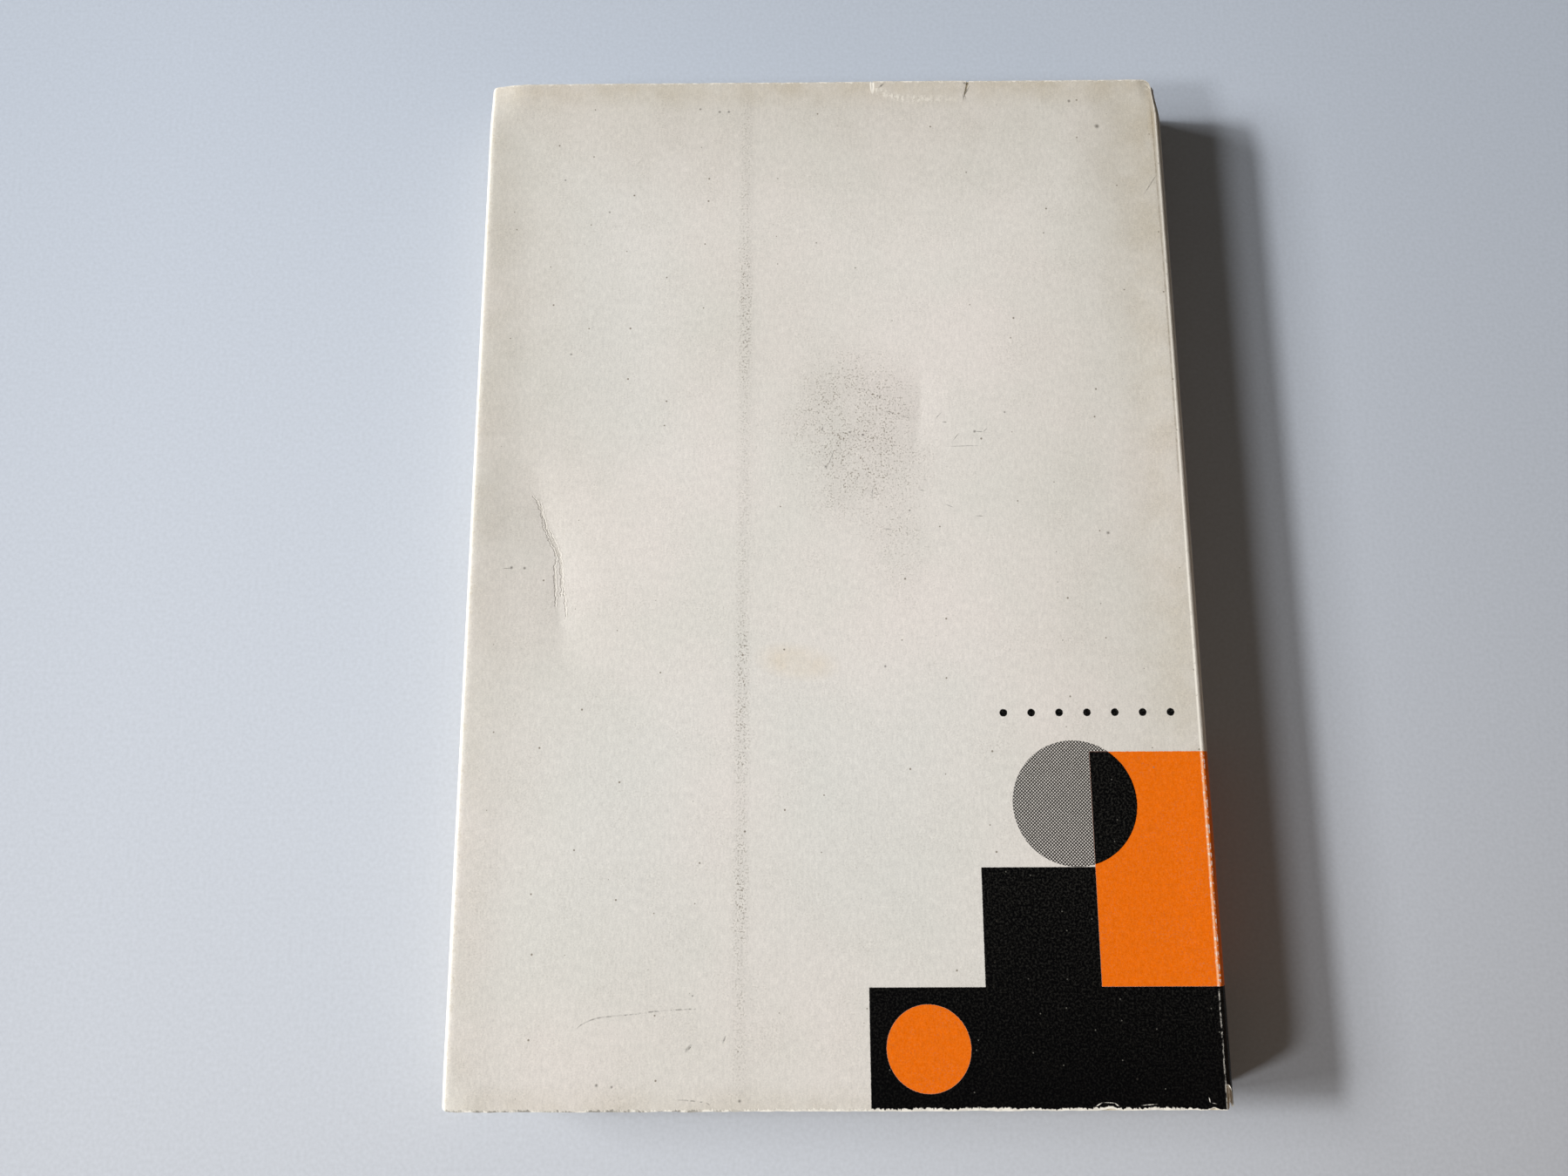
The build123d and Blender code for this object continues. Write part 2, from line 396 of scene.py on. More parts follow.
def front_columns():
    """Columns of the front cover, which lies flat on the table."""
    far = SPINE_WIDTH
    fold_top, fold_end = far - FOLD_TOP_U, far - FOLD_END_U
    return np.concatenate([
        far + np.linspace(0, 0.6, 9)[:-1],
        steps(far + 0.6, far + HINGE_BEND + 1, 0.2),
        steps(far + HINGE_BEND + 1, fold_top, 3),
        steps(fold_top, fold_end, 0.2),
        np.linspace(fold_end, PATH_U[-1], 22),
    ])


def spine_x(z, inset):
    """Where a surface inside the spine lies at a height."""
    return SPINE_CENTRE_X + np.sqrt((SPINE_RADIUS - inset) ** 2 - (z - SPINE_CENTRE_Z) ** 2)


def leaf_level(x, y, side):
    """Height of the outermost leaf on the back cover's side (1) or the front cover's side (-1)."""
    shifted = x if side > 0 else x - LEAN
    under_z = THICKNESS - 2 * CARD - FLAP_AIR - LEAF_AIR
    level_x = FOLD_X + FOLD_RADIUS + FLAP_LEVEL_RUN
    slope = math.tan(math.radians(FOLD_CLOSING_ANGLE))
    z = under_z + (LEAF_TOP_Z - under_z) * smooth((shifted - FLAP_STEP_X) / FLAP_STEP_RUN)
    z = z - np.clip(level_x - shifted, 0, None) * slope
    return z + settled(x, y) if side > 0 else THICKNESS - z


def leaves(finish_edges, finish_face):
    """All the leaves as one closed solid, in thin layers that stand out or back a little."""
    random = np.random.default_rng(SEED)
    layers = LAYERS_PER_SECTION * SECTION_COUNT
    low_z = THICKNESS - LEAF_TOP_Z
    block_height = LEAF_TOP_Z - low_z
    fore_x = FOLD_X + LEAF_SETBACK
    back_x = spine_x(LEAF_TOP_Z, CARD + GLUE)
    leaf_width = back_x - fore_x
    step_start, step_end = FLAP_STEP_X - 0.6, FLAP_STEP_X + FLAP_STEP_RUN + 0.6
    across = np.concatenate([
        steps(fore_x, fore_x + 6, 1), steps(fore_x + 6, step_start, 3.2),
        steps(step_start, step_end, 0.9), steps(step_end, back_x, 3.6), [back_x],
    ])
    along = np.linspace(TAIL_Y, HEAD_Y, 57)
    share = (across - fore_x) / leaf_width
    columns, rows = len(across), len(along)
    around = [(i, 0) for i in range(columns - 1)] + [(columns - 1, j) for j in range(rows - 1)]
    around += [(i, rows - 1) for i in range(columns - 1, 0, -1)] + [(0, j) for j in range(rows - 1, 0, -1)]
    edge_i, edge_j = np.array(around).T

    def plan(level, offsets):
        """x for each column and y for each row of one leaf, at its share of the block's height."""
        spine_z = low_z + block_height * level
        phase = (level * SECTION_COUNT) % 1
        spine_side = spine_x(spine_z, CARD + GLUE)
        fore_side = spine_side - leaf_width + offsets[0]
        spine_side += SECTION_BACK_ROUND * math.sin(math.pi * phase)
        tail_end, head_end = TAIL_Y + offsets[1], HEAD_Y - offsets[2]
        x = fore_side + (spine_side - fore_side) * share
        return x, tail_end + (head_end - tail_end) * (along - TAIL_Y) / HEIGHT

    def heights(x, y, level):
        """z of one leaf: flat low down in the block, and following the cover's dents at the top."""
        low, high = leaf_level(x, y, -1), leaf_level(x, y, 1)
        calm = high - settled(x, y) * (1 - level**2)
        return low + (calm - low) * level if level < 1 else high

    points, place, rings, faces = [], [], [], []
    section_shift = random.normal(0, 0.05, SECTION_COUNT)
    count = 0
    for layer in range(layers):
        shift = section_shift[layer * SECTION_COUNT // layers] + random.normal(0, 0.05)
        offsets = [float(np.clip(0.12 + shift, 0, 0.3)), *np.clip(random.normal(0.07, 0.035, 2), 0, 0.2)]
        for level in (layer / layers, (layer + 1) / layers):
            x, y = plan(min(level, 0.9999), offsets)
            whole = (layer == 0 and level == 0) or (layer == layers - 1 and level == 1)
            if whole:
                grid_x, grid_y = (a.ravel() for a in np.meshgrid(x, y, indexing="ij"))
                ring = count + edge_i * rows + edge_j
            else:
                grid_x, grid_y = x[edge_i], y[edge_j]
                ring = count + np.arange(len(around))
            grid_z = heights(grid_x, grid_y, level)
            knocked = smooth(1 - (back_x - grid_x) / 4) * smooth((grid_y - HEAD_Y + 5) / 5) * level**4
            grid_y, grid_z = grid_y - (CORNER_BLUNT + 0.5) * knocked, grid_z - 0.5 * knocked
            grid_x = grid_x - spine_end_knock(grid_y, grid_z) * smooth(1 - (back_x - grid_x) / 6)
            points.append(np.column_stack([grid_x, grid_y, grid_z]))
            place.append(np.column_stack([grid_x, grid_y, np.full(len(grid_x), level * block_height)]))
            if whole:
                index = count + np.arange(columns * rows).reshape(columns, rows)
                quads = grid_faces(index).reshape(-1, 4)
                faces.append(quads if level else quads[:, ::-1])
            rings.append(ring)
            count += len(grid_x)
    flat_faces = sum(len(f) for f in faces)
    for lower, upper in zip(rings, rings[1:]):
        faces.append(np.column_stack([lower, np.roll(lower, -1), np.roll(upper, -1), upper]))
    piece = mesh_piece("leaves", np.vstack(points), np.vstack(faces), finish_edges,
                       "leaf_place", np.vstack(place), 25)
    piece.data.materials.append(finish_face)
    slots = np.zeros(len(piece.data.polygons), np.int32)
    slots[:flat_faces] = 1
    piece.data.polygons.foreach_set("material_index", slots)
    return piece


def brushed_glue(finish):
    """The glue between the section backs and the spine card, with uneven ends."""
    z = np.linspace(THICKNESS - LEAF_TOP_Z, LEAF_TOP_Z, 6 * SECTION_COUNT + 1)
    phase = np.linspace(0, SECTION_COUNT, len(z)) % 1
    share = (edge_rows(4) - TAIL_Y) / HEIGHT
    low = TAIL_Y + 1.5 + 0.4 * soft_noise(z, 0, 1.1, 21)
    high = HEAD_Y - 1.5 - 0.4 * soft_noise(z, 0, 1.3, 22) - 1.2 * smooth((z - THICKNESS + 5) / 5)
    y = low[:, None] + (high - low)[:, None] * share
    tall = z[:, None] + 0 * y
    outer_x = spine_x(tall, CARD + 0.01)
    inner_x = spine_x(tall, CARD + GLUE) + SECTION_BACK_ROUND * np.sin(np.pi * phase)[:, None] + 0.01
    pushed = spine_end_knock(y, tall)
    points = np.array([np.stack([x - pushed, y, tall], axis=-1) for x in (outer_x, inner_x)])
    faces = closed_faces(grid_faces(np.arange(y.size).reshape(y.shape).T), y.size)
    return mesh_piece("glue_layer", points.reshape(-1, 3), faces, finish)


def fibres(name, roots, finish):
    """Torn paper fibres: each root is a place, a direction, a length and a width."""
    points, faces = [], []
    for start, direction, length, width in roots:
        direction = np.array(direction) / np.linalg.norm(direction)
        side = np.cross(direction, [0.3, 0.2, 1])
        side /= np.linalg.norm(side)
        flat = np.cross(direction, side)
        first = len(points)
        for share, spread in ((0, 1), (0.6, 0.7), (1, 0.15)):
            middle = np.array(start) + direction * length * share + flat * 0.12 * length * share**2
            points += [middle - side * width * spread / 2, middle + side * width * spread / 2,
                       middle + flat * width * spread * 0.4]
        for level in (0, 3):
            for corner in range(3):
                near, far = first + level + corner, first + level + (corner + 1) % 3
                faces.append([near, far, far + 3, near + 3])
    return mesh_piece(name, np.array(points), np.array(faces), finish)


# Finishes

def linear(hex_colour):
    """An sRGB hex colour as linear red, green, blue and alpha."""
    parts = [int(hex_colour[place:place + 2], 16) / 255 for place in (1, 3, 5)]
    return (*[p / 12.92 if p <= 0.04045 else ((p + 0.055) / 1.055) ** 2.4 for p in parts], 1)


# An S-shaped step for a map range, in place of a straight one
SOFTLY = {"interpolation_type": "SMOOTHSTEP"}


def node(kind, *values, tree=None, **named):
    """Adds one shader node, to the tree that its links come from unless one is given.

    Inputs are numbers or links, in order or by their capitalised names. Settings are in small letters.
    """
    linked = (bpy.types.Node, bpy.types.NodeSocket)
    tree = tree or next(value.id_data for value in (*values, *named.values()) if isinstance(value, linked))
    made = tree.nodes.new("ShaderNode" + kind)
    for name, value in named.items():
        if name.islower():
            setattr(made, name, value)
    sockets = [s for s in made.inputs if s.enabled]
    pairs = [*zip(sockets, values), *((s, named[s.name]) for s in sockets if s.name in named)]
    for socket, value in pairs:
        if isinstance(value, bpy.types.Node):
            value = next(s for s in value.outputs if s.enabled)
        if isinstance(value, bpy.types.NodeSocket):
            tree.links.new(value, socket)
        else:
            socket.default_value = value
    return made


def new_finish(name, roughness, specular):
    """An empty material with one surface shader."""
    material = bpy.data.materials.new(name)
    material.use_nodes = True
    surface = next(n for n in material.node_tree.nodes if n.type == "BSDF_PRINCIPLED")
    surface.inputs["Roughness"].default_value = roughness
    surface.inputs["Specular IOR Level"].default_value = specular
    surface.inputs["IOR"].default_value = 1.5
    return material, material.node_tree, surface


def dress(surface, colour, height=None, rough=None):
    """Links a surface's colour, its relief from heights in millimetres, and its roughness."""
    bump = node("Bump", Distance=MM, Height=height) if height else None
    for name, made in (("Base Color", colour), ("Normal", bump), ("Roughness", rough)):
        if made:
            source = next(s for s in made.outputs if s.enabled)
            surface.id_data.links.new(source, surface.inputs[name])


def layered(colour, *layers):
    """A colour with others laid over it, one after another, each as (mask, colour)."""
    for mask, over in layers:
        colour = node("Mix", mask, colour, over, data_type="RGBA")
    return colour


def shaded(colour, shade):
    """A colour made darker or lighter by a grey shade."""
    grey = node("CombineXYZ", shade, shade, shade)
    return node("Mix", 1, colour, grey, data_type="RGBA", blend_type="MULTIPLY")


def away_from(value, place):
    """How far a value is from a place, on either side."""
    return node("Math", node("Math", value, place, operation="SUBTRACT"), operation="ABSOLUTE")


def without(mask, gone):
    """A mask with another taken out of it."""
    return product(mask, node("Math", 1, gone, operation="SUBTRACT"))


def past(value, limit, *ramp):
    """A mask from how far a value is past a limit that differs from place to place."""
    return node("MapRange", node("Math", value, limit, operation="SUBTRACT"), *ramp)


def rectangle(flat, low, high, edge=0.04):
    """A printed rectangle between two corners: 1 inside, with an edge as soft as the ink's."""
    middle = [(a + b) / 2 for a, b in zip(low, high)]
    half = [(b - a) / 2 for a, b in zip(low, high)]
    from_middle = node("VectorMath", flat, (*middle, 0), operation="SUBTRACT")
    outside = node("VectorMath", node("VectorMath", from_middle, operation="ABSOLUTE"), (*half, 0),
                   operation="SUBTRACT")
    sides = node("SeparateXYZ", outside)
    return node("MapRange", strongest(*sides.outputs[:2]), -edge, edge, 1, 0)


def disc(flat, centre, radius, edge=0.04):
    """A round spot: 1 inside, fading over the edge's width."""
    distance = node("VectorMath", flat, (*centre, 0), operation="DISTANCE")
    return node("MapRange", distance.outputs["Value"], radius - edge, radius + edge, 1, 0)


def stroke(along, across, places, width, soft):
    """A thin line through places, each (along, across): 1 on the line, fading at its sides and ends."""
    start, end = places[0][0], places[-1][0]
    low = min(p[1] for p in places) - 0.01
    high = max(p[1] for p in places) + 0.01
    share = node("MapRange", along, start, end)
    line = node("FloatCurve", 1, share)
    curve = line.mapping.curves[0]
    spots = [((a - start) / (end - start), (b - low) / (high - low)) for a, b in places]
    curve.points[0].location, curve.points[1].location = spots[0], spots[-1]
    for spot in spots[1:-1]:
        curve.points.new(*spot)
    line.mapping.update()
    offset = away_from(across, node("MapRange", line, 0, 1, low, high))
    near = node("MapRange", offset, width / 2, width / 2 + soft, 1, 0)
    return product(near, node("MapRange", without(share, share), 0, 0.04))


def streak(flat, start, end, width):
    """A short straight mark between two places, fading at its ends and sides."""
    length, angle = math.dist(start, end), math.atan2(end[1] - start[1], end[0] - start[0])
    middle = ((start[0] + end[0]) / 2, (start[1] + end[1]) / 2, 0)
    local = node("Mapping", flat, middle, (0, 0, angle), (length / 2, width / 2, 1), vector_type="TEXTURE")
    reach = node("VectorMath", local, operation="LENGTH")
    return node("MapRange", reach.outputs["Value"], 0.4, 1, 1, 0)


def mark(u, v, places, width, soft):
    """A stroke through (u, v) places, followed along the direction it mostly runs in."""
    (first_u, first_v), (last_u, last_v) = places[0], places[-1]
    if abs(last_u - first_u) > abs(last_v - first_v):
        return stroke(u, v, places, width, soft)
    return stroke(v, u, [(b, a) for a, b in places], width, soft)


def strongest(*masks):
    """The largest of several masks."""
    result = masks[0]
    for mask in masks[1:]:
        result = node("Math", result, mask, operation="MAXIMUM")
    return result


def product(*masks):
    """Masks multiplied together, where a mask may be a number."""
    result = masks[0]
    for mask in masks[1:]:
        result = node("Math", result, mask, operation="MULTIPLY")
    return result


# Ink on the cover, on a square layout of cells three to the width of the printed area
PRINT_WIDTH = 65
CELL = PRINT_WIDTH / 3

# The design's two discs, as shares of a cell, and its row of dots in millimetres
INNER_DISC, TONE_DISC, DOT, DOT_COUNT = 0.36, 0.55, 0.75, 7

# Colours of the card, with its painted light and shade, of what has settled on it and of its inks
CARD_WARM, CARD_COOL = linear("#E2DCD6"), linear("#DCD9D2")
CARD_PAINTED_LIGHT, CARD_PAINTED_SHADE = linear("#DADAD5"), linear("#C1BCB1")
CARD_TONED, CARD_CORE = linear("#BDB098"), linear("#F2EDE2")
CARD_INSIDE, GLUE_BROWN = linear("#DDD5C3"), linear("#A08B66")
SOIL, SPECK, CREASE_SOIL_AND_SHADE = linear("#857D70"), linear("#3A342D"), linear("#77664F")
STAIN, EDGE_DARK = linear("#D9C39A"), linear("#77736B")
ORANGE_INK, ORANGE_RUBBED, ORANGE_THIN = linear("#E86900"), linear("#F08B38"), linear("#F9B583")
BLACK_INK, DUST = linear("#040405"), linear("#7C7A72")

# Patterns of the card, each a size in millimetres and a detail. "felt" is drawn out along the sheet, as
# the fibres of machine-made card lie.
CARD_NOISE = {"blotch": (34, 3), "cloud": (9, 4), "mottle": (1.6, 4), "grain": (0.30, 2),
              "fray": (0.9, 3), "felt": (0.55, 2)}

# The crease that the covers bend along has been rubbed pale and carries a painted highlight, with a dark line
# painted beside it towards the head as soil and painted shade
GROOVE = [(-0.52, 118), (-0.34, 150), (-0.46, 180), (-0.62, 206)]

# Marks on the back cover, as (u, v) places, some with a width, and the smudges with a strength too
SPECKS = [(-98.2, 203.6, 0.25), (-94, 202.9, 0.3), (-92, 202.9, 0.28), (-127, 187, 0.22),
          (-117.3, 179.4, 0.22), (-18.2, 204.9, 0.35), (-12.5, 198.8, 0.5), (-15.4, 108.5, 0.35),
          (-135.1, 102.1, 0.33), (-132.5, 102, 0.3), (-124.5, 147.3, 0.25), (-60.7, 81.8, 0.25),
          (-115.4, 4.7, 0.3), (-112.6, 4.4, 0.25), (-89.1, 1.9, 0.3), (-97.9, 20.3, 0.18),
          (-66.9, 130, 0.25), (-64.2, 129.4, 0.25), (-71.9, 122.7, 0.3), (-61.1, 137.8, 0.22),
          (-55.1, 113.4, 0.22), (-41.4, 130, 0.3), (-35.1, 134.1, 0.22)]
MARKS_AND_TEAR_SHADE = [((-99.2, 10.3), (-97.9, 11.9), 0.75), ((-91.6, 13.4), (-92.3, 11.8), 0.4),
           ((-134.8, 102), (-137, 101.9), 0.2), ((-71.7, 122.2), (-69.9, 126.9), 0.22),
           ((-72.7, 130), (-72.3, 131.7), 0.3), ((-59.9, 134.8), (-56.6, 133.4), 0.2),
           ((-56.8, 133.5), (-54.2, 132.9), 0.2), ((-49.3, 132.8), (-47.9, 134.3), 0.24),
           ((-48, 132.1), (-46.9, 132), 0.3), ((-46, 127.9), (-44.5, 129.8), 0.2),
           ((-41.4, 130), (-39.5, 129.9), 0.22), ((-39.7, 129.8), (-38.6, 130.9), 0.18),
           ((-48, 126.8), (-39.7, 127), 0.16), ((-53.3, 117.7), (-51.8, 117.5), 0.24),
           ((-48, 114.7), (-46.1, 113.9), 0.18), ((-42.1, 112.2), (-40, 112.1), 0.2),
           ((-62.4, 118.7), (-62.7, 115.6), 0.28), ((-60.5, 109.6), (-58.5, 109.5), 0.2),
           # The marks at the head tears, at v above 204, are dark strokes painted as shade in the tears'
           # slits and nicks
           ((-58.1, 209.6), (-59.6, 208.3), 0.5), ((-39.8, 209.2), (-41.2, 204.9), 0.5),
           ((-41.3, 209.6), (-40.3, 209.1), 0.5), ((-0.2, 187.5), (-3.7, 182.2), 0.34)]
SMUDGES = [((-69, 154), (-62, 104), 38, 0.9), ((-76, 138), (-48, 129), 22, 0.8),
           ((-73, 141), (-61, 118), 19, 1.1), ((-60, 118), (-56, 94), 18, 0.55)]
SCRATCHES = [[(-119.5, 14.4), (-117.4, 15.8), (-115, 16.5), (-109.7, 17), (-104.4, 17.6), (-97, 18)],
             [(-100.6, 2.1), (-97, 1.9), (-94.4, 1.2)]]
CRACKS = [[(-131.7, 117.3), (-130.3, 115.2), (-128.7, 109.6), (-127.2, 106.5), (-126, 104.6)],
          [(-130.9, 116.6), (-129.3, 113), (-127.9, 108.6), (-126.8, 106.6)],
          [(-127.2, 108.2), (-126, 104.9), (-125.2, 100.8), (-125, 96)],
          [(-129.9, 115.8), (-128.6, 110.9), (-126.9, 106.9), (-126.4, 105.1), (-126.5, 101.2),
           (-126.2, 96.6)],
          [(-126.5, 106.6), (-125.3, 103), (-124.6, 97.4), (-124.1, 94.5), (-123.9, 91.5)],
          [(-127.9, 110), (-126.6, 107.4), (-125.7, 105.2), (-124.9, 102.4)],
          [(-126.4, 101), (-126.2, 98), (-126.1, 94)]]
BLISTERS = [((-24.1, 0.7), (-22.6, 1.5), 0.26), ((-22.8, 1.4), (-20.2, 1.2), 0.22),
            ((-20.6, 1.3), (-19.6, 0.6), 0.24), ((-15.9, 0.9), (-12.6, 1.1), 0.18),
            ((-3.3, 2.4), (-3.1, 1.2), 0.2), ((-2.9, 1.2), (-1.9, 0.9), 0.2)]
TAB_CREASE = [(-60.6, 208.3), (-57.7, 207), (-54.6, 206), (-50, 205.7), (-45.2, 205.7), (-41.4, 206)]
FLAP_SOIL = [(141, 171), (60, 92), (28, 50)]
# Patches where the card is painted paler, as painted light
PAINTED_LIGHT_ZONES = [((-134, 130), (-108, 190)), ((-132, 26), (-96, 74)), ((-86, 26), (-46, 78))]


def printed_design(flat, v, colour):
    """The colour fields printed in the lower corner and round the spine, laid over the card's colour."""
    left, wrap = -PRINT_WIDTH, SPINE_WIDTH
    ragged = node("TexNoise", flat, Scale=1 / 0.35, Detail=1, noise_dimensions="2D")
    wander = node("MapRange", ragged, 0, 1, -0.05, 0.05)
    inked = node("VectorMath", flat, node("CombineXYZ", wander, wander, 0), operation="ADD")
    orange = rectangle(inked, (left + 2 * CELL, CELL), (wrap, 3 * CELL))
    inner_disc = disc(inked, (left + CELL / 2, CELL / 2), INNER_DISC * CELL)
    band = rectangle(inked, (left, -5), (wrap, CELL))
    block = rectangle(inked, (left + CELL, CELL - 1), (left + 2 * CELL, 2 * CELL))
    tone = disc(inked, (left + 1.85 * CELL, 2.55 * CELL), TONE_DISC * CELL)
    dots = [disc(inked, (left + (1.25 + 0.25 * step) * CELL, 3.35 * CELL), DOT) for step in range(DOT_COUNT)]
    screen = node("Mapping", flat, Rotation=(0, 0, math.radians(45)))
    grid = node("TexVoronoi", screen, Scale=1 / 0.45, Randomness=0, voronoi_dimensions="2D")
    halftone = node("MapRange", grid.outputs["Distance"], 0.25, 0.36)
    black = strongest(without(band, inner_disc), block, *dots, product(tone, orange),
                      product(without(tone, orange), halftone, 0.94))
    full_orange = strongest(orange, inner_disc)
    lumpy = node("TexNoise", flat, Scale=1 / 0.6, Detail=4, Roughness=0.7, noise_dimensions="2D")
    orange_tone = layered(ORANGE_INK, (node("MapRange", lumpy, 0.35, 0.75, 0, 0.3), ORANGE_RUBBED))
    dust_spots = node("TexVoronoi", flat, Scale=1 / 5.5, voronoi_dimensions="2D")
    dusty = node("MapRange", dust_spots.outputs["Distance"], 0.012, 0.03, 0.6, 0)
    chosen = node("MapRange", node("SeparateColor", dust_spots.outputs["Color"]), 0.55, 0.60)
    fleck = node("TexNoise", flat, Scale=1 / 0.42, Detail=2, Roughness=0.6, noise_dimensions="2D")
    bloom = product(node("MapRange", fleck, 0.46, 0.72, 0, 0.12),
                    node("MapRange", lumpy, 0.3, 0.6, 0.5, 1.1), node("MapRange", v, 4, 40, 0.30, 0.85))
    black_tone = layered(BLACK_INK, (strongest(product(dusty, chosen), bloom), DUST))
    return layered(colour, (full_orange, orange_tone), (black, black_tone)), black, full_orange


def toned_card(flat, u, v, blotch, cloud, fray):
    """The bare card's colour: soft blotches, paler in some broad patches as painted light and duller towards
    the spine, the head and elsewhere as painted shade, for how the light falls across the cover, and browner
    at its outer edges.
    """
    pale = strongest(*[rectangle(flat, low, high, 13) for low, high in PAINTED_LIGHT_ZONES])
    # Painted shade: the card is made duller towards the spine and the head, higher up near the fold, towards
    # the tail and in one patch, for how the light falls
    dull = strongest(
        product(node("MapRange", v, 40, 130, 0.12, 0.50),
                node("MapRange", u, FOLD_TOP_U, FOLD_TOP_U + 42, 1, 0, **SOFTLY)),
        node("MapRange", v, HEIGHT - 48, HEIGHT, 0, 0.55, **SOFTLY),
        node("MapRange", u, -50, -8, 0, 0.36, **SOFTLY),
        product(node("MapRange", u, -32, -5, **SOFTLY),
                node("MapRange", v, HEIGHT - 75, HEIGHT - 10, 0.3, 0.95)),
        node("MapRange", v, 70, 0, 0, 0.22),
        product(rectangle(flat, (-104, 138), (-72, 178), 12), 0.20))
    uneven = node("MapRange", cloud, 0.3, 0.7, 0.4, 1.15)
    edges = strongest(
        node("MapRange", u, FOLD_TOP_U, FOLD_TOP_U + 9, 0.12, 0, **SOFTLY),
        product(node("MapRange", u, FOLD_TOP_U, FOLD_TOP_U + 1.6, 0.45, 0),
                node("MapRange", fray, 0.48, 0.62)),
        node("MapRange", v, HEIGHT - 8, HEIGHT, 0, 0.45, **SOFTLY),
        node("MapRange", v, 6, 0, 0, 0.25, **SOFTLY),
        # Beside the ridge near the head: toning, and painted shade beside the ridge's highlight
        product(node("MapRange", u, -2.6, -0.4, 0, 0.8), node("MapRange", v, 184, 196)),
        node("MapRange", u, -16, 0, 0, 0.30, **SOFTLY))
    stain = product(streak(flat, (-87, 84), (-69, 81.6), 8), uneven, 0.30)
    colour = layered(
        CARD_WARM, (node("MapRange", blotch, 0.32, 0.68), CARD_COOL), (product(pale, 0.6), CARD_PAINTED_LIGHT),
        (product(dull, node("MapRange", cloud, 0.2, 0.8, 0.75, 1.15)), CARD_PAINTED_SHADE),
        (product(edges, uneven), CARD_TONED), (stain, STAIN))
    return colour, edges, uneven


def handling_soil(flat, u, v, cloud, mottle, fray):
    """Grey grit rubbed into the card: a thin veil all over, thick in the smudge and along the flap's edge."""
    smudges = strongest(*[product(streak(flat, *line), amount) for *line, amount in SMUDGES])
    band = mark(u, v, FLAP_LINE, 0.9, 1.6)
    flap_soil = product(band, strongest(*[
        rectangle(flat, (-95, low), (-80, high), 9) for low, high in FLAP_SOIL]))
    veil = node("MapRange", cloud, 0.45, 0.75, 0.05, 0.22)
    smudges = product(smudges, node("MapRange", cloud, 0.36, 0.62, 0.5, 1.05))
    amount = strongest(smudges, flap_soil, product(band, 0.4), veil)
    clusters = node("MapRange", mottle, 0.38, 0.66, 0.25, 1)
    dust = node("TexNoise", flat, Scale=1 / 0.38, Detail=2, noise_dimensions="2D")
    fine = product(amount, node("MapRange", dust, 0.53, 0.64), clusters, 1.1)
    coarse = node("TexVoronoi", flat, Scale=1 / 1.1, voronoi_dimensions="2D")
    dots = product(node("MapRange", coarse.outputs["Distance"], 0.08, 0.20, 1, 0), amount,
                   node("MapRange", fray, 0.46, 0.60, 0, 1.1))
    haze = product(smudges, 0.11)
    pepper = node("TexVoronoi", flat, Scale=1 / 8, voronoi_dimensions="2D")
    few = node("MapRange", node("SeparateColor", pepper.outputs["Color"]), 0.60, 0.95)
    size = node("MapRange", few, 0, 1, 0, 0.024)
    specks = product(past(pepper.outputs["Distance"], size, -0.006, 0.008, 0.95, 0),
                     node("Math", few, 0.05, operation="GREATER_THAN"))
    return strongest(fine, dots, haze, specks)


